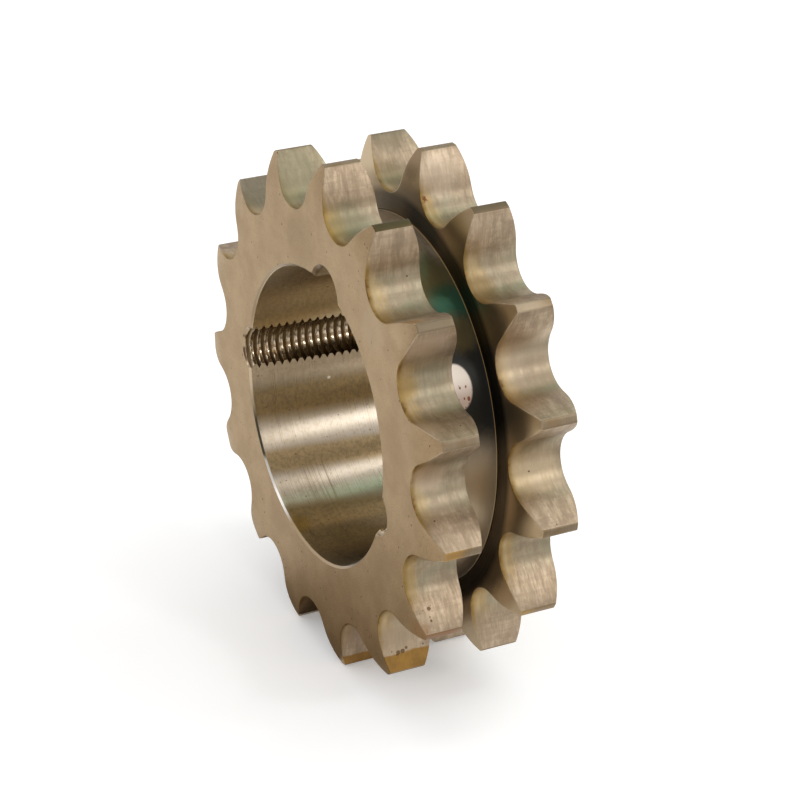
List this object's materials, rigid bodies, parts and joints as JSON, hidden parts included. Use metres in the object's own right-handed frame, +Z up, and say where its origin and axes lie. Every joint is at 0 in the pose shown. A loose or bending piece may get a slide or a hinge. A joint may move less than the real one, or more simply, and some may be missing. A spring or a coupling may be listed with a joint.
{
  "type": "chain sprocket",
  "caption": "Duplex roller chain sprocket in bare steel, with a groove between its toothed strands and a tapered bore with half-round screw holes in its rim.",
  "frame": {"origin": "centre of the tapered bore on the front face, where the bore is widest", "axes": "+Y runs along the shaft from the front face to the back face, +Z is up, and the sprocket stands on the tips of two neighbouring teeth"},
  "size_m": [0.0994, 0.0303, 0.0989],
  "materials": {
    "steel": "bare machined steel, satin, with fine turning marks and a warm oily cast"
  },
  "bodies": {
    "root": {"sprocket": "steel"}
  },
  "joints": []
}
